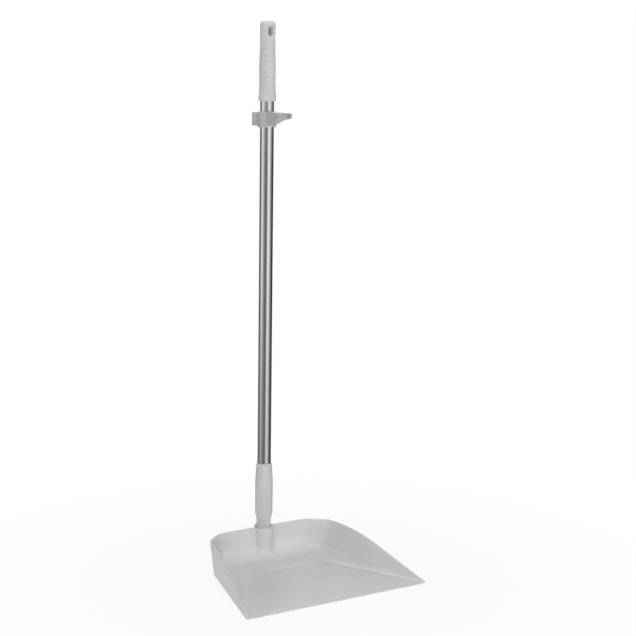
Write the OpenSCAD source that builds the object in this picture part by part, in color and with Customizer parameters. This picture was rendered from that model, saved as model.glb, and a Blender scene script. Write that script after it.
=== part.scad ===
// Upright lobby dustpan: a moulded scoop, a screw-in tube handle with a grip,
// and a clip on the tube that carries a broom.
// +Z is up and z = 0 is the floor. The mouth faces -Y. The origin lies on the floor,
// midway between the front lip and the handle's axis.

/* [Pan] */
// Width of the mouth, along the front lip
mouth_w = 376; // [320:1:420]
// Width of the pan at the handle's axis, at floor level
back_w = 230; // [190:1:260]
// Distance from the front lip to the handle's axis
pan_reach = 262; // [230:1:300]
// Height of the back wall
pan_h = 66; // [58:1:80]
// Thickness of the walls and the floor
pan_wall = 3; // [2.4:0.1:3.6]
// Plan radius of the two back corners
corner_r = 50; // [44:1:60]
// Outward lean of the side walls, degrees
side_lean = 7.5; // [4:0.5:14]
// Outward lean of the back wall, degrees
back_lean = 2; // [0:1:5]
// How far round the corner the lean changes from the one to the other, degrees
lean_turn = 30; // [20:1:60]
// How far the floor's raised border comes in from the back wall
bowl_run = 75; // [60:1:80]
// How high that border rises to the wall
bowl_rise = 6.5; // [4:0.5:9]
// Plan radius of the border's inner corners
bowl_r = 18; // [10:1:24]
// Share of the border's width that its steeper foot takes
bowl_foot = 0.3; // [0.2:0.05:0.4]
// Share of the border's rise that its steeper foot takes
bowl_foot_rise = 0.6; // [0.5:0.05:0.7]
// Share of the border's rise over which it leaves the flat floor
bowl_ease = 0.15; // [0.1:0.05:0.3]
// Share of the border's width over which it turns up into the wall
bowl_turn = 0.3; // [0.1:0.05:0.4]
// Height of the cove between border and wall at the back
back_cove = 40; // [20:1:42]
// Share of the border's width that this cove takes
cove_width = 0.9; // [0.4:0.05:0.9]
// Radius of the cove at the sides
side_cove = 5; // [3:0.5:8]
// Width of the border at the mouth
mouth_run = 5; // [4:1:8]
// Rise of the border at the mouth
mouth_rise = 2.5; // [2:0.5:3]
// Distance from the lip over which the border grows to its full height
bowl_growth = 70; // [50:1:120]
// Height of the side walls at the lip
mouth_rim = 3.4; // [3:0.1:5]
// Slope of the side walls' top edge, degrees
rim_slope = 19.5; // [17:0.5:22]
// Height over which the sloping edge rounds into the level one
shoulder = 20; // [10:1:26]
// Distance behind the lip where the hollow under the floor's curve starts
hollow_start = 30; // [20:1:60]
// Distance over which that hollow grows to its full height
hollow_growth = 80; // [60:1:120]
// Thickness of the front lip
lip_t = 1.2; // [0.8:0.1:1.8]
// Length of the ramp behind the lip
lip_run = 22; // [12:1:30]

/* [Socket] */
// Wall round the socket's bore, at its mouth
socket_wall = 8.4; // [7:0.1:9.5]
// Wall round the socket's axis, at the floor
socket_foot_wall = 5.4; // [4:0.1:6.5]
// Depth of the socket's bore
socket_depth = 44; // [36:1:48]
// Radius of the curve where the socket runs out on the pan's floor
nose_r = 16; // [12:1:18]

/* [Seal] */
// Thickness of the sealing washer
washer_t = 3.5; // [2:0.1:5]
// Width of the washer's ring
washer_w = 5.7; // [4:0.1:6.4]
// Gap between the washer and the screw spigot
washer_gap = 0.3; // [0.2:0.05:0.5]

/* [Screw spigot] */
// Diameter over the screw thread
thread_d = 20; // [18:0.5:21]
// Running gap between the thread and the socket's bore
thread_gap = 0.1; // [0.05:0.01:0.1]
// Length of thread below the washer
thread_len = 38; // [30:1:42]
// Length of the spigot's core inside the tube
core_len = 58; // [40:1:80]

/* [Ferrule] */
// Length of the ferrule
ferrule_len = 120; // [100:1:150]
// Wall of the neck round the spigot
neck_wall = 3.5; // [3:0.1:4.5]
// Length of the straight neck
neck_len = 12; // [10:1:18]
// Length of the taper between neck and barrel
neck_taper = 10; // [9:1:16]
// Wall of the barrel round the tube
barrel_wall = 3.9; // [3:0.1:5]
// Wall at the ferrule's upper end
ferrule_top_wall = 1.9; // [1.6:0.1:2.6]
// Length of the taper at the upper end
ferrule_top_taper = 34; // [24:1:44]
// Number of flutes round the neck and the upper end
flutes = 20; // [14:1:20]
// Radius of a neck flute
flute_r = 1.6; // [1.5:0.1:2]
// Depth of a neck flute
flute_cut = 1.1; // [0.5:0.1:1.1]
// Radius of an upper flute
top_flute_r = 1.2; // [1:0.1:1.6]
// Depth of an upper flute
top_flute_cut = 0.8; // [0.3:0.1:0.8]
// Length of the upper flutes
top_flute_len = 15; // [10:1:20]

/* [Tube] */
// Outer diameter of the tube
tube_d = 25; // [23:0.5:27]
// Wall of the tube
tube_wall = 1.2; // [1:0.1:1.6]
// Length of the tube
tube_len = 851; // [700:1:1000]
// Gap where the tube is pressed into the ferrule and the grip
press_gap = 0.05; // [0.03:0.01:0.1]

/* [Grip] */
// Length of the grip
grip_len = 142; // [130:1:160]
// Length of tube inside the grip
grip_socket = 80; // [70:1:84]
// Wall of the grip at its foot
grip_foot_wall = 3.3; // [2.8:0.1:4]
// Wall of the grip at its waist, above the foot
grip_waist_wall = 1.9; // [1.7:0.1:2.4]
// Wall of the grip at the palm swell
grip_palm_wall = 2.6; // [2.2:0.1:3.4]
// Wall of the grip where the tube ends
grip_neck_wall = 1.2; // [1:0.1:1.6]
// Radius that rounds the top of the grip
grip_dome = 6; // [4:0.5:8]
// Width of the hanging hole
hang_w = 9.5; // [8:0.5:11]
// Height of the hanging hole
hang_h = 15; // [13:0.5:22]
// Material above the hanging hole
hang_web = 10.2; // [9:0.1:12]
// How deep the hole's edges flare out on both sides
hang_flare = 4; // [2:0.1:4]
// Number of finger grooves
grooves = 10; // [8:1:10]
// Distance from one finger groove to the next
groove_pitch = 9.82; // [9:0.02:10]
// Height of the first finger groove above the grip's foot
groove_start = 13; // [12:0.5:18]
// Depth of a finger groove
groove_cut = 0.8; // [0.4:0.1:0.9]
// Radius of a finger groove
groove_r = 2.4; // [1.6:0.1:2.8]
// Sweep of a finger groove round the grip, degrees
groove_sweep = 124; // [90:2:140]

/* [Broom clip] */
// Gap between the clip and the grip
clip_gap = 19; // [8:1:60]
// Height of the clip at the tube
clip_h = 28; // [24:1:34]
// Wall of the clip's ring and jaws
clip_wall = 2.8; // [2.4:0.1:3.6]
// Thickness of the friction liner
liner_t = 1; // [0.8:0.1:1.6]
// Running gap on both sides of the liner
liner_gap = 0.1; // [0.05:0.01:0.1]
// How far the liner stays inside the clip's ends
liner_inset = 1; // [0.5:0.1:2]
// Half angle of the ring's rear opening, degrees
ring_open = 36; // [28:1:42]
// Length of the flared lips beside the rear opening
lip_len = 13; // [8:1:16]
// How far the lips flare outward, degrees from straight back
lip_flare = 36; // [25:1:45]
// How far the lips stay inside the clip's ends
lip_inset = 2; // [1:0.1:3]
// Diameter of the broom handle that the jaws hold
broom_d = 24; // [21:0.5:26]
// Distance from the tube's axis to the broom's axis
broom_reach = 57; // [50:1:64]
// Half angle of the jaws' front opening, degrees
jaw_open = 46; // [38:1:52]
// Height of the jaws at their tips
jaw_tip_h = 7; // [5:0.5:10]
// Width of the web between ring and jaws
web_w = 18; // [14:0.5:22]
// Distance in front of the tube's axis where the clip's underside starts to rise
gusset_start = 6; // [4:0.5:10]
// How much the clip's underside bends on its way up to the tips, 1 for straight
gusset_bend = 1.4; // [1:0.1:2]

/* [Hidden] */
$fn = 64;

// Number of steps in the pan's loft: along a side, round a corner, across half the back,
// round a quarter of the socket and up the wall
side_steps = 18;
corner_steps = 10;
back_steps = 2;
socket_steps = 6;
wall_steps = 15;
// How much closer together the points up the wall are near the floor
wall_crowd = 2.4;
// Steps in a drawn arc
arc_steps = 10;
// Overlap that makes a cut pass clean through a face
over = 0.5;
// Size of the round between the border's foot and the rest of it, as a share of its width
bowl_bend = 0.15;
// Size of the blend between the socket and the wall that it stands on
socket_blend = 9;
// Share of the wall's thickness that each rounded edge of the rim takes
rim_share = 0.38;
// Fillet at the edges of turned ends
edge_r = 1;
// How far the bead on a free end of the clip stands out on each side
bead = 0.3;

axis_y = pan_reach / 2;
mouth_y = -pan_reach / 2;
back_y = axis_y + pan_wall / 2;
taper = atan((mouth_w - back_w) / 2 / pan_reach);

bore_r = thread_d / 2 + thread_gap;
socket_r = bore_r + socket_wall;
socket_foot_r = bore_r + socket_foot_wall;

washer_z = pan_h;
ferrule_z = washer_z + washer_t;
neck_r = thread_d / 2 + neck_wall;
tube_r = tube_d / 2;
barrel_r = tube_r + barrel_wall;
tube_z = ferrule_z + neck_len + neck_taper;
tube_top = tube_z + tube_len;
ferrule_top = ferrule_z + ferrule_len;
grip_z = tube_top - grip_socket;
grip_top = grip_z + grip_len;
clip_z = grip_z - clip_gap - clip_h;
liner_r = tube_r + liner_gap + liner_t;
ring_r = liner_r + liner_gap;
ring_out_r = ring_r + clip_wall;
jaw_r = broom_d / 2;
jaw_out_r = jaw_r + clip_wall;
jaw_tip = broom_reach + jaw_out_r + 2 * bead;

plastic = [0.87, 0.87, 0.86];
metal = [0.72, 0.73, 0.74];
rubber = [0.7, 0.7, 0.69];
liner_white = [0.8, 0.8, 0.79];

function lerp(a, b, t) = a + (b - a) * t;
function unit(t) = min(max(t, 0), 1);
function ease(t) = let (u = unit(t)) u * u * (3 - 2 * u);
// The lower of two heights, with a round of the given size where they cross
function soft_min(a, b, size) = let (h = max(size - abs(a - b), 0) / size) min(a, b) - h * h * size / 4;
// Quarter ellipse: share of the run covered at a share of the rise
function quarter(u) = sqrt(1 - pow(1 - unit(u), 2));
// Points of an arc in a plane
function arc(centre, r, from, to) =
    [for (i = [0 : arc_steps]) let (a = lerp(from, to, i / arc_steps)) centre + r * [cos(a), sin(a)]];

// Distance from the lip at a place in the pan
function from_lip(y) = y - mouth_y;
function rim_z(y) = soft_min(pan_h, mouth_rim + from_lip(y) * tan(rim_slope), shoulder);
function floor_t(y) = lerp(lip_t, pan_wall, unit(from_lip(y) / lip_run));
function rise_at(y) = lerp(mouth_rise, bowl_rise, ease(from_lip(y) / bowl_growth));
function lean_at(a) = lerp(side_lean, back_lean, ease((a - taper) / lean_turn));

// The cove between border and wall at a station that faces in a direction: its height, and
// the share of the border's width that it takes
function cove_at(a, run) =
    let (t = ease((a - taper) / (90 - taper)), side = min(side_cove, run / 2))
    [lerp(side, back_cove, t), lerp(side / run, cove_width, t)];

// How far a section has come from the flat floor to the wall, 0 to 1, at a height above the floor
bowl_steep = bowl_foot / (bowl_foot_rise + bowl_ease);
bowl_flat = (1 - bowl_foot) / (1 - bowl_foot_rise);
function border_at(h, rise, cove) =
    let (
        u = h / rise,
        foot = bowl_steep * (u < bowl_ease ? 2 * sqrt(bowl_ease * u) : u + bowl_ease),
        shelf = 1 + (u - 1) * bowl_flat,
        wall = 1 - cove[1] * (1 - quarter(h / cove[0]))
    )
    soft_min(-soft_min(-foot, -shelf, bowl_bend), wall, bowl_turn * unit(u) + over / 1000);

// The height of the hollow's roof at such a place, which leaves the wall's thickness over it
function roof_at(place, rise, cove, run) =
    let (
        q = max(place - pan_wall / run, 0),
        t = unit(1 - (1 - q) / cove[1]),
        shelf = q < bowl_foot ? bowl_foot_rise * pow(q / bowl_foot, 2) : 1 + (q - 1) / bowl_flat
    )
    max(rise * shelf, cove[0] * (1 - sqrt(1 - t * t)));

// Heights of the points on a section's inside, closer together near the floor
function heights(y, top) =
    [for (k = [0 : wall_steps]) lerp(floor_t(y), top, pow(k / wall_steps, wall_crowd))];

// The outside of a section has the roof of the hollow under the border, and then the foot of
// the wall and the wall itself, as [distance from the outer wall's foot, height]
roof_steps = wall_steps - 5;
foot_end = roof_steps + 2;
function hollow_at(y) = ease((from_lip(y) - hollow_start) / hollow_growth);
function outer_wall(top) = [[-pan_wall, 0], [-edge_r, 0], [0, edge_r], [0, (edge_r + top) / 2], [0, top]];
function reversed(list) = [for (i = [len(list) - 1 : -1 : 0]) list[i]];

// The height of the rounded edge at a place on the rim
function rim_round(y) = min(pan_wall / 2, (rim_z(y) - floor_t(y)) / 3);

// The rim joins the tops of a section's inside and outside with two rounded edges
function rim_over(from, to, rise) =
    let (f = rim_share * min(norm(to - from), pan_wall) / norm(to - from), e = f * (1 - cos(45)))
    [for (q = [[e, sin(45)], [f, 1], [1 - f, 1], [1 - e, sin(45)]])
        lerp(from, to, q[0]) + [0, 0, rise * q[1]]];

function joined(inner, outer, rise) =
    concat(inner, rim_over(inner[wall_steps], outer[wall_steps], rise), reversed(outer));

// The foot line of the right half, from the lip to the back: side, corner, back wall.
// Each station is its place and the direction that it faces.
side_n = [cos(taper), sin(taper)];
lip_corner = [mouth_w / 2, mouth_y];
corner_y = back_y - corner_r;
corner_x = (side_n * lip_corner - corner_r - side_n[1] * corner_y) / side_n[0];
corner_c = [corner_x, corner_y];
side_end = corner_c + corner_r * side_n;
back_step = (corner_x - socket_foot_r - nose_r - socket_blend) / back_steps;
foot_line = [
    for (i = [0 : side_steps]) let (t = i / side_steps) [lerp(lip_corner, side_end, t), taper * t],
    for (i = [1 : corner_steps]) let (a = lerp(taper, 90, i / corner_steps))
        [corner_c + corner_r * [cos(a), sin(a)], a],
    for (i = [1 : back_steps - 1]) [[corner_x - i * back_step, back_y], 90]
];

// The edge of the flat floor for the same stations: a straight side from the lip, a round
// corner that it touches, and a line along the back
flat_y = back_y - pan_wall - bowl_run;
flat_lip = [mouth_w / 2 - pan_wall - mouth_run, mouth_y];
flat_c = [corner_x, flat_y - bowl_r];
flat_far = flat_lip - flat_c;
flat_a = atan2(flat_far[1], flat_far[0]) + acos(bowl_r / norm(flat_far));
flat_end = flat_c + bowl_r * [cos(flat_a), sin(flat_a)];
flat_line = [
    for (i = [0 : side_steps]) lerp(flat_lip, flat_end, i / side_steps),
    for (i = [1 : corner_steps]) let (a = lerp(flat_a, 90, i / corner_steps))
        flat_c + bowl_r * [cos(a), sin(a)],
    for (i = [1 : back_steps - 1]) [corner_x - i * back_step, flat_y]
];

// A section of the pan's wall at a station: from the floor's top up the inside,
// over the rim, and down the outside to the underside
function wall_section(p, a, edge) =
    let (
        y = p[1],
        rr = rim_round(y),
        top = rim_z(y) - rr,
        rise = rise_at(y),
        lean = tan(lean_at(a)),
        away = [cos(a), sin(a)],
        run = norm(p - pan_wall * away - edge),
        cove = cove_at(a, run),
        inner = [for (z = heights(y, top))
            let (q = border_at(z - floor_t(y), rise, cove))
            concat(lerp(edge, p + (z * lean - pan_wall) * away, q), z)],
        roof = [for (k = [0 : roof_steps]) let (q = k / roof_steps)
            let (z = hollow_at(y) * roof_at(q, rise, cove, run))
            concat(lerp(edge, p - (pan_wall + over) * away, q), z)],
        wall = [for (q = outer_wall(top)) concat(p + (q[0] + q[1] * lean) * away, q[1])]
    )
    joined(inner, concat(roof, wall), rr);

// The socket swells out of the back wall, and its foot runs out on the floor as a nose
function socket_r_at(z) = lerp(socket_foot_r, socket_r, z / pan_h);
function nose_r_at(z) =
    let (u = unit((z - pan_wall) / nose_r)) socket_r_at(z) + nose_r * (1 - quarter(u));

// The inside of the back wall and of the border before it, at a height
function back_at(z) =
    lerp(flat_y, back_y - pan_wall + z * tan(back_lean),
        border_at(z - pan_wall, bowl_rise, cove_at(90, bowl_run)));

// The round between socket and back wall grows towards the floor, where it runs out
function blend_at(z) = socket_blend * (2 - z / pan_h) * unit((z - pan_wall) / pan_wall);

// The further back of two places, with a round where they cross
function behind(y1, y2) = -soft_min(-y1, -y2, socket_blend);

// A section through the socket at an angle round its axis, from 90 at its flank to 0 at the
// middle. Under the socket there is no hollow: its heel stands on the floor.
function socket_section(a) =
    let (
        rr = rim_round(axis_y),
        top = rim_z(axis_y) - rr,
        inner = [for (z = heights(axis_y, top))
            let (r = nose_r_at(z), soft = blend_at(z) + over / 100)
            [r * sin(a), soft_min(back_at(z), axis_y - r * cos(a), soft), z]],
        floor_end = [nose_r_at(pan_wall) * sin(a), flat_y, 0],
        heel = [for (k = [1 : 4])
            let (q = outer_wall(top)[k], r = socket_r_at(q[1]) + q[0])
            [r * sin(a), behind(back_y + q[0] + q[1] * tan(back_lean), axis_y + r * cos(a)), q[1]]]
    )
    joined(inner, concat([for (k = [0 : foot_end - 1]) lerp(floor_end, heel[0], k / foot_end)], heel), rr);

// The section of the wall just beside the socket
function beside_section() =
    let (
        rr = rim_round(axis_y),
        top = rim_z(axis_y) - rr,
        out = function (k, z) lerp(nose_r_at(pan_wall), socket_r_at(z), unit(k / foot_end)) + socket_blend,
        inner = [for (z = heights(axis_y, top)) [nose_r_at(z) + socket_blend, back_at(z), z]],
        roof = [for (k = [0 : roof_steps])
            let (q = k / roof_steps, z = roof_at(q, bowl_rise, cove_at(90, bowl_run), bowl_run))
            [out(k, z), lerp(flat_y, back_y - pan_wall - over, q), z]],
        wall = [for (k = [0 : 4]) let (q = outer_wall(top)[k])
            [out(roof_steps + 1 + k, q[1]), back_y + q[0] + q[1] * tan(back_lean), q[1]]]
    )
    joined(inner, concat(roof, wall), rr);

function mirrored(section) = [for (q = section) [-q[0], q[1], q[2]]];

// The two triangles of a four-cornered face
function split(a, b, c, d) = [[a, c, b], [a, d, c]];
function flat(lists) = [for (l = lists) for (q = l) q];

module pan_shell() {
    right = concat(
        [for (i = [0 : len(foot_line) - 1])
            wall_section(foot_line[i][0], foot_line[i][1], flat_line[i])],
        [beside_section()],
        [for (i = [0 : socket_steps]) socket_section(90 - 90 * i / socket_steps)]
    );
    middle = len(right) - 1;
    sections = concat(right, [for (i = [middle - 1 : -1 : 0]) mirrored(right[i])]);
    last = len(sections) - 1;
    n = len(right[0]);
    left = last * n;
    walls = flat([for (i = [0 : last - 1]) for (j = [0 : n - 2])
        split(i * n + j, i * n + j + 1, (i + 1) * n + j + 1, (i + 1) * n + j)]);
    // The floor's top and underside are rungs between the two halves. Where the back wall's
    // stations lie on one line, they are fanned out from the rung before.
    turn = side_steps + corner_steps - 1;
    floor_of = function (at) flat(concat(
        [for (i = [0 : turn - 1]) split(at(i), at(i + 1), at(last - i - 1), at(last - i))],
        [for (k = [turn + 1 : middle - 1]) [
            [at(turn), at(k + 1), at(k)],
            [at(last - turn), at(last - k), at(last - k - 1)]]],
        [[[at(turn), at(last - turn), at(middle)]]]));
    top = floor_of(function (i) i * n);
    under = [for (f = floor_of(function (i) (i + 1) * n - 1)) reversed(f)];
    // The lip's front edge, and the ends of the side walls beside it
    lip = split(0, left, left + n - 1, n - 1);
    ends = flat([for (k = [0 : wall_steps - 1]) concat(
        split(k, n - 1 - k, n - 2 - k, k + 1),
        split(left + k + 1, left + n - 2 - k, left + n - 1 - k, left + k))]);
    rim_ends = flat([for (j = [wall_steps + 1 : n - 2 - wall_steps]) [
        [wall_steps, j, j + 1],
        [left + wall_steps, left + j + 1, left + j]]]);
    polyhedron(flat(sections), concat(walls, top, under, lip, ends, rim_ends));
}

// The scoop with the bore of its handle socket
module pan() {
    color(plastic)
        difference() {
            pan_shell();
            translate([0, axis_y, pan_h - socket_depth])
                cylinder(r = bore_r, h = socket_depth + over);
        }
}

module sealing_washer() {
    color(rubber)
        translate([0, axis_y, washer_z])
            difference() {
                cylinder(r = thread_d / 2 + washer_gap + washer_w, h = washer_t);
                translate([0, 0, -over])
                    cylinder(r = thread_d / 2 + washer_gap, h = washer_t + 2 * over);
            }
}

// Screw thread below, plain shank in the ferrule's neck, core pressed into the tube
module screw_spigot() {
    shank_r = thread_d / 2;
    core_r = tube_r - tube_wall - press_gap;
    foot = washer_z - thread_len;
    color(plastic)
        translate([0, axis_y, 0])
            rotate_extrude()
                polygon([
                    [0, foot],
                    [shank_r - edge_r, foot],
                    [shank_r, foot + edge_r],
                    [shank_r, tube_z],
                    [core_r, tube_z],
                    [core_r, tube_z + core_len - edge_r],
                    [core_r - edge_r, tube_z + core_len],
                    [0, tube_z + core_len]
                ]);
}

// A ring of round cutters between two points of a turned face's side view, [radius, height]
module flute_ring(from, to, r, turn) {
    d = to - from;
    for (i = [0 : flutes - 1])
        rotate([0, 0, 360 * (i + turn) / flutes])
            translate([from[0], 0, from[1]])
                rotate([0, atan2(d[0], d[1]), 0])
                    cylinder(r = r, h = norm(d));
}

module ferrule() {
    top_r = tube_r + ferrule_top_wall;
    taper_z = ferrule_z + neck_len;
    run_out_r = lerp(top_r, barrel_r, top_flute_len / ferrule_top_taper);
    color(plastic)
        translate([0, axis_y, 0])
            difference() {
                rotate_extrude()
                    polygon([
                        [thread_d / 2 + press_gap, ferrule_z],
                        [neck_r, ferrule_z],
                        [neck_r, taper_z],
                        [barrel_r - edge_r, tube_z - edge_r],
                        [barrel_r, tube_z + edge_r],
                        [barrel_r, ferrule_top - ferrule_top_taper],
                        [top_r, ferrule_top - edge_r],
                        [top_r - edge_r, ferrule_top],
                        [tube_r + press_gap, ferrule_top],
                        [tube_r + press_gap, tube_z],
                        [thread_d / 2 + press_gap, tube_z]
                    ]);
                // Flutes on the neck, and between them flutes that run out up the taper
                flute_ring([neck_r + flute_r - flute_cut, ferrule_z - over],
                    [neck_r + flute_r - flute_cut, taper_z + over], flute_r, 0);
                flute_ring([neck_r + flute_r - flute_cut, taper_z],
                    [barrel_r + flute_r + over, tube_z + over], flute_r, 0.5);
                // Flutes that run out down from the upper end
                flute_ring([run_out_r + top_flute_r + 2 * over, ferrule_top - top_flute_len - 2 * over],
                    [top_r + top_flute_r - top_flute_cut, ferrule_top + 2 * top_flute_r], top_flute_r, 0);
            }
}

module tube() {
    color(metal)
        translate([0, axis_y, tube_z])
            difference() {
                cylinder(r = tube_r, h = tube_len);
                translate([0, 0, -over])
                    cylinder(r = tube_r - tube_wall, h = tube_len + 2 * over);
            }
}

// Outer radius of the grip at a height above its foot: foot collar, waist, palm swell,
// then an even neck up to the dome
grip_points = [
    [0, grip_foot_wall],
    [8, grip_foot_wall],
    [18, lerp(grip_foot_wall, grip_waist_wall, 0.6)],
    [38, grip_waist_wall],
    [52, lerp(grip_waist_wall, grip_palm_wall, 0.7)],
    [62, grip_palm_wall],
    [74, lerp(grip_palm_wall, grip_neck_wall, 0.4)],
    [96, grip_neck_wall]
];
function grip_r(h) = tube_r + lookup(h, grip_points);

module grip() {
    neck = tube_r + grip_neck_wall;
    hang_r = hang_w / 2;
    flare = hang_flare + over;
    hang_low = grip_len - hang_web - hang_h + hang_r;
    hang_high = grip_len - hang_web - hang_r;
    color(plastic)
        translate([0, axis_y, grip_z])
            difference() {
                rotate_extrude()
                    polygon(concat(
                        [[tube_r + press_gap, 0], [grip_r(0) - edge_r, 0], [grip_r(0), edge_r]],
                        [for (q = [1 : len(grip_points) - 1])
                            [grip_r(grip_points[q][0]), grip_points[q][0]]],
                        arc([neck - grip_dome, grip_len - grip_dome], grip_dome, 0, 90),
                        [[0, grip_len], [0, grip_socket], [tube_r + press_gap, grip_socket]]
                    ));
                // Hanging hole, front to back
                for (z = [hang_low, hang_high])
                    translate([0, 0, z])
                        rotate([90, 0, 0])
                            cylinder(r = hang_r, h = 2 * tube_d, center = true);
                translate([-hang_r, -tube_d, hang_low])
                    cube([hang_w, 2 * tube_d, hang_high - hang_low]);
                for (side = [0, 180])
                    rotate([0, 0, side])
                        translate([0, hang_flare - neck, 0]) {
                            for (z = [hang_low, hang_high])
                                translate([0, 0, z])
                                    rotate([90, 0, 0])
                                        cylinder(r1 = hang_r, r2 = hang_r + flare, h = flare);
                            translate([0, 0, hang_low])
                                linear_extrude(hang_high - hang_low)
                                    polygon([[-hang_r, 0], [hang_r, 0],
                                        [hang_r + flare, -flare], [-hang_r - flare, -flare]]);
                        }
                // Finger grooves on the front and the back, with plain strips between
                for (i = [0 : grooves - 1], side = [-90, 90])
                    let (z = groove_start + i * groove_pitch)
                        translate([0, 0, z])
                            rotate([0, 0, side - groove_sweep / 2])
                                rotate_extrude(angle = groove_sweep)
                                    translate([grip_r(z) - groove_cut + groove_r, 0])
                                        circle(r = groove_r, $fn = 16);
            }
}

// A wedge in plan that opens a ring, seen from the ring's centre
module opening(half_angle, reach) {
    polygon([[0, 0], reach * [sin(half_angle), cos(half_angle)], [0, reach / cos(half_angle)],
        reach * [-sin(half_angle), cos(half_angle)]]);
}

module clip_liner() {
    color(liner_white)
        translate([0, axis_y, clip_z + liner_inset])
            linear_extrude(clip_h - 2 * liner_inset)
                difference() {
                    circle(r = liner_r);
                    circle(r = tube_r + liner_gap);
                    opening(ring_open, 2 * liner_r);
                }
}

// A straight bar in plan with a bead on its far end
module bar(from, to, w) {
    d = to - from;
    translate(to)
        circle(d = w + 2 * bead);
    translate(from)
        rotate(atan2(d[1], d[0]))
            translate([0, -w / 2])
                square([norm(d), w]);
}

// Jaws for the broom, the web behind them and the ring round the tube
module clip_outline() {
    difference() {
        union() {
            circle(r = ring_out_r);
            translate([0, -broom_reach])
                circle(r = jaw_out_r);
            translate([-web_w / 2, -broom_reach])
                square([web_w, broom_reach]);
        }
        circle(r = ring_r);
        translate([0, -broom_reach])
            circle(r = jaw_r);
        opening(ring_open, 2 * ring_out_r);
        translate([0, -broom_reach])
            mirror([0, 1])
                opening(jaw_open, 2 * jaw_out_r);
    }
    // Beads on the tips of the jaws
    tip_r = jaw_r + clip_wall / 2 + 2 * bead;
    for (s = [-1, 1])
        translate([0, -broom_reach] + tip_r * [s * sin(jaw_open), -cos(jaw_open)])
            circle(d = clip_wall + 2 * bead);
}

// The flared lips that lead the clip onto the tube
module clip_lips() {
    for (s = [-1, 1]) {
        start = (ring_r + clip_wall / 2) * [s * sin(ring_open), cos(ring_open)];
        bar(start, start + lip_len * [s * sin(lip_flare), cos(lip_flare)], clip_wall - 2 * bead);
    }
}

// Side view of what is cut away below the jaws, so that they thin towards their tips
module gusset_cut() {
    run = jaw_tip - gusset_start;
    rise = clip_h - jaw_tip_h;
    polygon(concat(
        [[jaw_tip + over, -over], [jaw_tip + over, rise]],
        [for (i = [arc_steps : -1 : 0]) let (t = i / arc_steps)
            [gusset_start + run * t, rise * (1 - pow(1 - t, gusset_bend))]],
        [[gusset_start, -over]]
    ));
}

module broom_clip() {
    color(plastic)
        translate([0, axis_y, clip_z]) {
            difference() {
                linear_extrude(clip_h)
                    clip_outline();
                rotate([90, 0, -90])
                    linear_extrude(4 * jaw_out_r, center = true)
                        gusset_cut();
            }
            translate([0, 0, lip_inset])
                linear_extrude(clip_h - 2 * lip_inset)
                    clip_lips();
        }
}

pan();
sealing_washer();
screw_spigot();
ferrule();
tube();
grip();
clip_liner();
broom_clip();
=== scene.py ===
import math

import bmesh
import bpy
from mathutils import Matrix, Vector


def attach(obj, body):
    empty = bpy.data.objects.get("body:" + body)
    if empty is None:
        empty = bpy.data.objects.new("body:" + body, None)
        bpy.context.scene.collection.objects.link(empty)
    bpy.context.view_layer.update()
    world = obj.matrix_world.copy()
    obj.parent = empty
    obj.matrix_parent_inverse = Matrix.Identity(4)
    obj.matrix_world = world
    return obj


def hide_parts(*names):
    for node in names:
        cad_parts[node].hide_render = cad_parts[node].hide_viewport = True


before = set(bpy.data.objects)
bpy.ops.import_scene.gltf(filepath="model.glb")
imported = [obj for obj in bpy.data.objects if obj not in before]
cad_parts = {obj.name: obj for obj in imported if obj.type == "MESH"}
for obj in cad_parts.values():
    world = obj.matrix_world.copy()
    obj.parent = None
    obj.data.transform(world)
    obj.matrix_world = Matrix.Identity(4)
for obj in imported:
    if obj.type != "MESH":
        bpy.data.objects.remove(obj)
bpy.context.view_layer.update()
scene = bpy.context.scene
print("frame loaded with", len(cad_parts), "solids")

mm = 0.001
handleY = 131 * mm  # the handle's axis stands this far behind the origin
weld = 0.002 * mm  # corners that are closer than this become one


def addNode(tree, kind, **values):
    node = tree.nodes.new(kind)
    for key, value in values.items():
        setattr(node, key, value)
    return node


def newMaterial(name):
    material = bpy.data.materials.new(name)
    material.use_nodes = True
    tree = material.node_tree
    tree.nodes.clear()
    output = addNode(tree, "ShaderNodeOutputMaterial")
    return material, tree, output


def patternPlace(tree, stretch):
    coords = addNode(tree, "ShaderNodeTexCoord")
    mapping = addNode(tree, "ShaderNodeMapping")
    mapping.inputs["Scale"].default_value = stretch
    tree.links.new(coords.outputs["Object"], mapping.inputs["Vector"])
    return mapping.outputs["Vector"]


def noise(tree, place, scale, detail, roughness=0.5):
    node = addNode(tree, "ShaderNodeTexNoise")
    node.inputs["Scale"].default_value = scale
    node.inputs["Detail"].default_value = detail
    node.inputs["Roughness"].default_value = roughness
    tree.links.new(place, node.inputs["Vector"])
    return node.outputs["Fac"]


def spread(tree, value, span, target):
    node = addNode(tree, "ShaderNodeMapRange")
    for key, number in zip(("From Min", "From Max", "To Min", "To Max"), (*span, *target)):
        node.inputs[key].default_value = number
    tree.links.new(value, node.inputs["Value"])
    return node.outputs["Result"]


def tint(tree, value, dark, light):
    ramp = addNode(tree, "ShaderNodeValToRGB")
    ramp.color_ramp.elements[0].color = (*dark, 1)
    ramp.color_ramp.elements[1].color = (*light, 1)
    tree.links.new(value, ramp.inputs["Fac"])
    return ramp.outputs["Color"]


def bumpOf(tree, value, strength, distance, below=None):
    node = addNode(tree, "ShaderNodeBump")
    node.inputs["Strength"].default_value = strength
    node.inputs["Distance"].default_value = distance
    tree.links.new(value, node.inputs["Height"])
    if below is not None:
        tree.links.new(below, node.inputs["Normal"])
    return node.outputs["Normal"]


mouldPattern = {"cloudDetail": 4, "cloudSpan": (0.3, 0.7), "grainDetail": 3, "grainRoughness": 0.6,
    "grainSpan": (0.25, 0.75), "grainDepth": 0.05, "waveDetail": 2, "waveDepth": 0.4}


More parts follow.
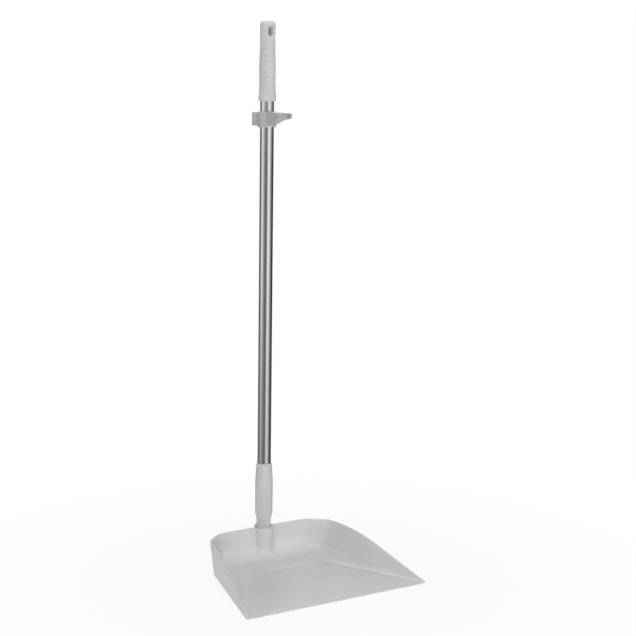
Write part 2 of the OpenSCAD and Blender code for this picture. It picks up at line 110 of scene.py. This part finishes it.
def mouldedPlastic(name, look):
    material, tree, output = newMaterial(name)
    shader = addNode(tree, "ShaderNodeBsdfPrincipled")
    shader.inputs["IOR"].default_value = look["ior"]
    shader.inputs["Specular IOR Level"].default_value = look["specular"]
    p = mouldPattern
    place = patternPlace(tree, (1, 1, 1))
    cloud = noise(tree, place, look["cloudScale"], p["cloudDetail"])  # slow change of tone
    shade = spread(tree, cloud, p["cloudSpan"], (0, 1))
    tree.links.new(tint(tree, shade, look["dark"], look["light"]), shader.inputs["Base Color"])
    grain = noise(tree, place, look["grainScale"], p["grainDetail"], p["grainRoughness"])  # mould's texture
    tree.links.new(spread(tree, grain, p["grainSpan"], look["gloss"]), shader.inputs["Roughness"])
    skin = bumpOf(tree, grain, look["grainBump"], p["grainDepth"] * mm)
    wave = noise(tree, place, look["waveScale"], p["waveDetail"])  # faint sink and flow of the wall
    surface = bumpOf(tree, wave, look["waveBump"], p["waveDepth"] * mm, skin)
    tree.links.new(surface, shader.inputs["Normal"])
    tree.links.new(shader.outputs["BSDF"], output.inputs["Surface"])
    return material


drawnPattern = {"lineDetail": 3, "lineRoughness": 0.6, "lineDepth": 0.02, "cloudDetail": 3,
    "cloudStretch": 0.3, "span": (0.3, 0.7)}


def drawnMetal(name, look):
    material, tree, output = newMaterial(name)
    shader = addNode(tree, "ShaderNodeBsdfPrincipled")
    shader.inputs["Metallic"].default_value = 1.0
    p = drawnPattern
    along = patternPlace(tree, (1, 1, look["lineStretch"]))
    lines = noise(tree, along, look["lineScale"], p["lineDetail"], p["lineRoughness"])  # marks of drawing
    shade = spread(tree, lines, p["span"], (0, 1))
    tree.links.new(tint(tree, shade, look["dark"], look["light"]), shader.inputs["Base Color"])
    cloud = noise(tree, patternPlace(tree, (1, 1, p["cloudStretch"])), look["cloudScale"], p["cloudDetail"])
    tree.links.new(spread(tree, cloud, p["span"], look["gloss"]), shader.inputs["Roughness"])
    tree.links.new(bumpOf(tree, lines, look["lineBump"], p["lineDepth"] * mm), shader.inputs["Normal"])
    tree.links.new(shader.outputs["BSDF"], output.inputs["Surface"])
    return material


panFinish = {"dark": (0.6, 0.6, 0.598), "light": (0.63, 0.63, 0.627), "cloudScale": 9,
    "grainScale": 2600, "grainBump": 0.12, "waveScale": 34, "waveBump": 0.05,
    "gloss": (0.3, 0.4), "ior": 1.49, "specular": 0.5}
fittingFinish = {"dark": (0.56, 0.56, 0.558), "light": (0.6, 0.6, 0.597), "cloudScale": 22,
    "grainScale": 3200, "grainBump": 0.2, "waveScale": 60, "waveBump": 0.05,
    "gloss": (0.4, 0.52), "ior": 1.49, "specular": 0.5}
clipFinish = {"dark": (0.41, 0.41, 0.409), "light": (0.45, 0.45, 0.449), "cloudScale": 40,
    "grainScale": 3200, "grainBump": 0.2, "waveScale": 80, "waveBump": 0.05,
    "gloss": (0.4, 0.5), "ior": 1.49, "specular": 0.5}
linerFinish = {"dark": (0.58, 0.58, 0.578), "light": (0.6, 0.6, 0.598), "cloudScale": 40,
    "grainScale": 2400, "grainBump": 0.1, "waveScale": 80, "waveBump": 0.03,
    "gloss": (0.45, 0.55), "ior": 1.45, "specular": 0.5}
sealFinish = {"dark": (0.5, 0.5, 0.498), "light": (0.54, 0.54, 0.537), "cloudScale": 60,
    "grainScale": 2800, "grainBump": 0.3, "waveScale": 90, "waveBump": 0.05,
    "gloss": (0.62, 0.75), "ior": 1.42, "specular": 0.4}
tubeFinish = {"dark": (0.7, 0.71, 0.72), "light": (0.76, 0.765, 0.77), "lineScale": 900, "lineStretch": 0.004,
    "lineBump": 0.25, "cloudScale": 60, "gloss": (0.1, 0.15)}

panPlastic = mouldedPlastic("panPlastic", panFinish)
fittingPlastic = mouldedPlastic("fittingPlastic", fittingFinish)
clipPlastic = mouldedPlastic("clipPlastic", clipFinish)
linerPlastic = mouldedPlastic("linerPlastic", linerFinish)
sealRubber = mouldedPlastic("sealRubber", sealFinish)
tubeMetal = drawnMetal("tubeMetal", tubeFinish)
print("finishes made")


def solidCopy(node):
    bm = bmesh.new()
    bm.from_mesh(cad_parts[node].data)
    bmesh.ops.remove_doubles(bm, verts=bm.verts, dist=weld)
    return bm


def openEdges(bm):
    return sum(len(edge.link_faces) != 2 for edge in bm.edges)


# a copy of a solid whose sharp edges above a height are rounded
def roundedCopy(node, shape):
    bm = solidCopy(node)
    bmesh.ops.remove_doubles(bm, verts=bm.verts, dist=shape["shortest"] * mm)
    bmesh.ops.dissolve_limit(bm, angle_limit=math.radians(shape["flat"]), verts=bm.verts[:],
        edges=bm.edges[:])
    sharp = [edge for edge in bm.edges if edge.calc_face_angle(0) > math.radians(shape["turn"])
        and min(corner.co.z for corner in edge.verts) > shape["above"] * mm]
    bmesh.ops.bevel(bm, geom=sharp, offset=shape["edge"] * mm, segments=shape["segments"], profile=0.5,
        affect="EDGES", material=-1, clamp_overlap=False)
    bmesh.ops.recalc_face_normals(bm, faces=bm.faces)
    print("edges left open on the copy of", node + ":", openEdges(bm))
    return bm


def makePiece(name, bm, material, body, node, sharpTurn):
    for face in bm.faces:
        face.smooth = True
        face.material_index = 0
    for edge in bm.edges:
        edge.smooth = len(edge.link_faces) == 2 and edge.calc_face_angle() < math.radians(sharpTurn)
    mesh = bpy.data.meshes.new(name)
    bm.to_mesh(mesh)
    bm.free()
    mesh.materials.append(material)
    piece = bpy.data.objects.new(name, mesh)
    scene.collection.objects.link(piece)
    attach(piece, body)
    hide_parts(node)
    print(name, "made with", len(mesh.polygons), "faces")
    return piece


# turns an outline of radius and height round the handle's axis
def turned(points, steps, closed=True, bm=None):
    bm = bm or bmesh.new()
    ring = [bm.verts.new((r * mm, handleY, z * mm)) for r, z in points]
    edges = [bm.edges.new((a, b)) for a, b in zip(ring, ring[1:])]
    if closed:
        edges.append(bm.edges.new((ring[-1], ring[0])))
    bmesh.ops.spin(bm, geom=ring + edges, cent=(0, handleY, 0), axis=(0, 0, 1), angle=math.tau,
        steps=steps, use_merge=True, use_duplicate=False)
    bmesh.ops.remove_doubles(bm, verts=bm.verts, dist=weld)
    bmesh.ops.recalc_face_normals(bm, faces=bm.faces)
    return bm


# the upper half of an outline is the lower half upside down
def bothEnds(half, low, high):
    return half + [(r, low + high - z) for r, z in reversed(half)]


# the scoop: its walls, floor and socket are one moulding
scoopShape = {"flatTurn": 20, "flatShape": 60, "sharpTurn": 32}
s = scoopShape
bm = solidCopy("pan")
bmesh.ops.join_triangles(bm, faces=bm.faces, angle_face_threshold=math.radians(s["flatTurn"]),
    angle_shape_threshold=math.radians(s["flatShape"]))
makePiece("scoop", bm, panPlastic, "pan", "pan", s["sharpTurn"])

# the seal ring under the ferrule, with rounded edges
sealShape = {"inner": 10.3, "outer": 16.0, "low": 66.0, "high": 69.5, "edge": 0.7, "roundShare": 0.3,
    "boreEdge": 0.3, "steps": 96, "sharpTurn": 40}
s = sealShape
cut = s["roundShare"] * s["edge"]
half = [(s["inner"], s["low"] + s["boreEdge"]), (s["inner"] + s["boreEdge"], s["low"]),
    (s["outer"] - s["edge"], s["low"]), (s["outer"] - cut, s["low"] + cut),
    (s["outer"], s["low"] + s["edge"])]
bm = turned(bothEnds(half, s["low"], s["high"]), s["steps"])
makePiece("sealRing", bm, sealRubber, "washer", "sealing_washer", s["sharpTurn"])

# the plug inside the tube, with a screw thread that runs into the socket
plugShape = {"foot": 28.0, "collar": 70.0, "shoulder": 91.5, "top": 149.5, "shank": 9.95, "core": 11.2,
    "root": 8.7, "edge": 1.0, "pitch": 5.0, "rootEnd": 0.22, "crest": (0.42, 0.62), "rootStart": 0.82,
    "spareTurns": 2, "cutGap": 0.0001, "steps": 48, "sharpTurn": 30}
s = plugShape
bm = bmesh.new()
turns = math.ceil((s["collar"] - s["foot"]) / s["pitch"]) + s["spareTurns"]
start = s["foot"] - s["pitch"]
thread = [(s["root"], 0), (s["root"], s["rootEnd"]), (s["shank"], s["crest"][0]),
    (s["shank"], s["crest"][1]), (s["root"], s["rootStart"]), (s["root"], 1)]  # radius and share of the pitch
line = [bm.verts.new((r * mm, handleY, (start + share * s["pitch"]) * mm)) for r, share in thread]
edges = [bm.edges.new((a, b)) for a, b in zip(line, line[1:])]
bmesh.ops.spin(bm, geom=line + edges, cent=(0, handleY, 0), axis=(0, 0, 1), angle=math.tau * turns,
    dvec=(0, 0, s["pitch"] * mm / s["steps"]), steps=s["steps"] * turns, use_duplicate=False)
bmesh.ops.remove_doubles(bm, verts=bm.verts, dist=weld)
bmesh.ops.recalc_face_normals(bm, faces=bm.faces)
for height, up in ((s["foot"], -1), (s["collar"], 1)):
    bmesh.ops.bisect_plane(bm, geom=bm.verts[:] + bm.edges[:] + bm.faces[:], dist=s["cutGap"] * mm,
        plane_co=(0, 0, height * mm), plane_no=(0, 0, up), clear_outer=True)
middle = (s["foot"] + s["collar"]) / 2 * mm
footRim = [edge for edge in bm.edges if edge.is_boundary and edge.verts[0].co.z < middle]
bmesh.ops.holes_fill(bm, edges=footRim, sides=0)
core = [(s["shank"], s["collar"] + s["edge"]), (s["shank"], s["shoulder"]), (s["core"], s["shoulder"]),
    (s["core"], s["top"] - s["edge"]), (s["core"] - s["edge"], s["top"]), (0, s["top"])]
turned(core, s["steps"], False, bm)
bmesh.ops.bridge_loops(bm, edges=[edge for edge in bm.edges if edge.is_boundary])
bmesh.ops.recalc_face_normals(bm, faces=bm.faces)
print("edges left open on the plug:", openEdges(bm))
makePiece("screwPlug", bm, fittingPlastic, "handle", "screw_spigot", s["sharpTurn"])

# the fluted ferrule at the tube's lower end
ferruleShape = {"sharpTurn": 28}
s = ferruleShape
bm = solidCopy("ferrule")
makePiece("ferruleSleeve", bm, fittingPlastic, "handle", "ferrule", s["sharpTurn"])

# the tube, with a small chamfer at each end
tubeShape = {"outer": 12.5, "inner": 11.3, "low": 91.5, "high": 942.5, "edge": 0.25, "steps": 160,
    "sharpTurn": 30}
s = tubeShape
half = [(s["inner"], s["low"] + s["edge"]), (s["inner"] + s["edge"], s["low"]),
    (s["outer"] - s["edge"], s["low"]), (s["outer"], s["low"] + s["edge"])]
bm = turned(bothEnds(half, s["low"], s["high"]), s["steps"])
makePiece("handleTube", bm, tubeMetal, "handle", "tube", s["sharpTurn"])

# the grip: only the edges of its hanging hole are rounded
gripShape = {"edge": 0.6, "segments": 3, "turn": 26, "flat": 1,
    "shortest": 0.08, "above": 972, "sharpTurn": 28}
bm = roundedCopy("grip", gripShape)
makePiece("ribbedGrip", bm, fittingPlastic, "handle", "grip", gripShape["sharpTurn"])

# the broom clip and the liner it slides on
linerShape = {"edge": 0.2, "segments": 2, "turn": 35, "flat": 1,
    "shortest": 0.05, "above": 0, "sharpTurn": 30}
bm = roundedCopy("clip_liner", linerShape)
makePiece("slideLiner", bm, linerPlastic, "liner", "clip_liner", linerShape["sharpTurn"])
clipShape = {"edge": 0.45, "segments": 2, "turn": 35, "flat": 1,
    "shortest": 0.25, "above": 0, "sharpTurn": 30}
bm = roundedCopy("broom_clip", clipShape)
makePiece("broomClip", bm, clipPlastic, "clip", "broom_clip", clipShape["sharpTurn"])


studio = {"ambient": 0.02, "white": 1.0, "floorSize": 30, "floorTone": (0.9, 0.9, 0.9, 1),
    "shadowShare": 0.12, "shadowReach": (0.22, 0.75)}


# one for rays that show the background: straight from the camera, off metal or through glass
def sceneRays(tree):
    rays = addNode(tree, "ShaderNodeLightPath")
    total = rays.outputs["Is Camera Ray"]
    for key in ("Is Glossy Ray", "Is Transmission Ray"):
        larger = addNode(tree, "ShaderNodeMath", operation="MAXIMUM")
        tree.links.new(total, larger.inputs[0])
        tree.links.new(rays.outputs[key], larger.inputs[1])
        total = larger.outputs[0]
    return total


def mixShaders(tree, share, first, second, output):
    mix = addNode(tree, "ShaderNodeMixShader")
    tree.links.new(share, mix.inputs["Fac"])
    tree.links.new(first.outputs[0], mix.inputs[1])
    tree.links.new(second.outputs[0], mix.inputs[2])
    tree.links.new(mix.outputs[0], output.inputs["Surface"])


world = bpy.data.worlds.new("studioWorld")
scene.world = world
world.use_nodes = True
tree = world.node_tree
tree.nodes.clear()
output = addNode(tree, "ShaderNodeOutputWorld")
backgrounds = {}
for key in ("ambient", "white"):
    backgrounds[key] = addNode(tree, "ShaderNodeBackground")
    backgrounds[key].inputs["Color"].default_value = (1, 1, 1, 1)
    backgrounds[key].inputs["Strength"].default_value = studio[key]
mixShaders(tree, sceneRays(tree), backgrounds["ambient"], backgrounds["white"], output)

floorMaterial, tree, output = newMaterial("paleFloor")
matt = addNode(tree, "ShaderNodeBsdfDiffuse")
matt.inputs["Color"].default_value = studio["floorTone"]
glow = addNode(tree, "ShaderNodeEmission")
glow.inputs["Strength"].default_value = studio["white"]
distance = addNode(tree, "ShaderNodeVectorMath", operation="LENGTH")  # the shadow fades out round the object
tree.links.new(patternPlace(tree, (1, 1, 1)), distance.inputs[0])
share = spread(tree, distance.outputs["Value"], studio["shadowReach"], (1 - studio["shadowShare"], 1))
part = addNode(tree, "ShaderNodeMath", operation="MULTIPLY")
tree.links.new(sceneRays(tree), part.inputs[0])
tree.links.new(share, part.inputs[1])
mixShaders(tree, part.outputs[0], matt, glow, output)


def stagePiece(name, bm, material):
    mesh = bpy.data.meshes.new(name)
    bm.to_mesh(mesh)
    bm.free()
    mesh.materials.append(material)
    piece = bpy.data.objects.new(name, mesh)
    scene.collection.objects.link(piece)
    return piece


bm = bmesh.new()
bmesh.ops.create_grid(bm, x_segments=1, y_segments=1, size=studio["floorSize"])
stagePiece("floor", bm, floorMaterial)
print("floor made")

# a sheet on the floor round the object, seen only in reflections: it gives the polished tube
# its dark edges and two bright strips, as cards do in a studio; each tone has its turn in degrees
cards = {"radius": 24, "inner": 0.36, "steps": 96, "height": 0.0005, "toward": 239.3, "reach": (0.6, 3.4),
    "near": ((-180, 0.08), (-136, 0.12), (-103, 0.16), (-80, 0.4), (-60, 0.36), (-40, 0.28),
        (-23, 0.2), (-6, 0.14), (10, 0.26), (26, 0.74), (46, 0.72), (64, 0.42),
        (85, 0.16), (110, 0.05), (150, 0.06), (180, 0.08)),
    "far": ((-180, 0.06), (-136, 0.1), (-103, 0.2), (-80, 1.0), (-60, 0.74), (-40, 0.36),
        (-23, 0.2), (-6, 0.1), (10, 0.24), (26, 1.0), (46, 1.0), (64, 0.6),
        (85, 0.2), (110, 0.03), (150, 0.04), (180, 0.06))}
cardMaterial, tree, output = newMaterial("cardTones")
coords = addNode(tree, "ShaderNodeTexCoord")
mapping = addNode(tree, "ShaderNodeMapping", vector_type="TEXTURE")
mapping.inputs["Location"].default_value = (0, handleY, 0)
mapping.inputs["Rotation"].default_value = (0, 0, math.radians(cards["toward"]))
tree.links.new(coords.outputs["Object"], mapping.inputs["Vector"])
sweep = addNode(tree, "ShaderNodeTexGradient", gradient_type="RADIAL")
tree.links.new(mapping.outputs["Vector"], sweep.inputs["Vector"])
away = addNode(tree, "ShaderNodeVectorMath", operation="LENGTH")
tree.links.new(mapping.outputs["Vector"], away.inputs[0])
blend = addNode(tree, "ShaderNodeMix", data_type="RGBA")
tree.links.new(spread(tree, away.outputs["Value"], cards["reach"], (0, 1)), blend.inputs["Factor"])
colourInputs = {socket.name: socket for socket in blend.inputs if socket.type == "RGBA"}
for key, name in (("near", "A"), ("far", "B")):
    ramp = addNode(tree, "ShaderNodeValToRGB")
    stops = ramp.color_ramp.elements
    for turn, tone in cards[key]:
        stop = stops.new(turn / 360 + 0.5)
        stop.color = (tone, tone, tone, 1)
    stops.remove(stops[0])  # the two stops that every ramp starts with
    stops.remove(stops[-1])
    tree.links.new(sweep.outputs["Fac"], ramp.inputs["Fac"])
    tree.links.new(ramp.outputs["Color"], colourInputs[name])
glow = addNode(tree, "ShaderNodeEmission")
tree.links.new(next(socket for socket in blend.outputs if socket.type == "RGBA"), glow.inputs["Color"])
tree.links.new(glow.outputs[0], output.inputs["Surface"])
bm = bmesh.new()
bmesh.ops.create_circle(bm, segments=cards["steps"], radius=cards["inner"],
    matrix=Matrix.Translation((0, handleY, cards["height"])))
made = bmesh.ops.extrude_edge_only(bm, edges=bm.edges[:])
growth = cards["radius"] / cards["inner"]
bmesh.ops.scale(bm, verts=[item for item in made["geom"] if isinstance(item, bmesh.types.BMVert)],
    vec=(growth, growth, 1), space=Matrix.Translation((0, -handleY, 0)))
card = stagePiece("cardSheet", bm, cardMaterial)
for ray in ("camera", "diffuse", "shadow", "transmission", "volume_scatter"):
    setattr(card, "visible_" + ray, False)
print("reflected sheet made")


def softbox(name, place, target, wide, high, power):
    lamp = bpy.data.lights.new(name, "AREA")
    lamp.shape = "RECTANGLE"
    lamp.size = wide
    lamp.size_y = high
    lamp.energy = power
    holder = bpy.data.objects.new(name, lamp)
    scene.collection.objects.link(holder)
    holder.location = place
    holder.rotation_euler = (Vector(target) - Vector(place)).to_track_quat("-Z", "Y").to_euler()
    return holder


# each lamp's place, the point it faces, its width and height, and its power
lamps = {
    "keyBox": ((-2.52, -2.95, 0.93), (0, 0.05, 0.4), 2, 2, 30),
    "fillBox": ((2.52, -2.95, 0.93), (0, 0.05, 0.4), 2, 2, 25),
    "lowBox": ((-0.9, -1.9, 0.05), (0, 0.1, 0.8), 2, 1, 41),
    "highBox": ((1.65, -1.92, 3.16), (0, 0.05, 0.4), 2, 2, 18),
    "sideBox": ((-3.39, 2.01, 0.93), (0, 0.05, 0.4), 2, 2, 30),
    "topBox": ((0, 0, 3), (0, 0.05, 0.2), 1.6, 1.6, 37),
    "backBox": ((1.02, 3.86, 0.8), (0, 0.05, 0.4), 2, 2, 40),
    "rearBox": ((0.86, 2.18, 1.98), (0, 0.05, 0.05), 1.2, 0.8, 8),
}
for name, (place, target, wide, high, power) in lamps.items():
    holder = softbox(name, place, target, wide, high, power)
    holder.visible_camera = False
    holder.visible_glossy = name == "rearBox"  # only this one shows as a sheen along the floor's edge
print("lamps made:", len(lamps))

# the photo's viewing angle, in degrees, with the place in metres
view = {"place": (-1.5681, -2.5069, 1.0369), "heading": 32.54, "down": 10.5354, "roll": 0.81637,
    "lens": 95.84, "sensor": 36, "farthest": 60}
heading, down, roll = (math.radians(view[key]) for key in ("heading", "down", "roll"))
ahead = Vector((math.sin(heading) * math.cos(down), math.cos(heading) * math.cos(down), -math.sin(down)))
levelRight = Vector((math.cos(heading), -math.sin(heading), 0))
levelAbove = levelRight.cross(ahead)
right = levelRight * math.cos(roll) + levelAbove * math.sin(roll)
above = levelAbove * math.cos(roll) - levelRight * math.sin(roll)
cameraData = bpy.data.cameras.new("photoCamera")
cameraData.lens = view["lens"]
cameraData.sensor_width = view["sensor"]
cameraData.clip_end = view["farthest"]
camera = bpy.data.objects.new("photoCamera", cameraData)
scene.collection.objects.link(camera)
camera.matrix_world = Matrix.Translation(view["place"]) @ Matrix((right, above, -ahead)).transposed().to_4x4()
scene.camera = camera
scene.view_settings.view_transform = "Standard"
print("camera made")
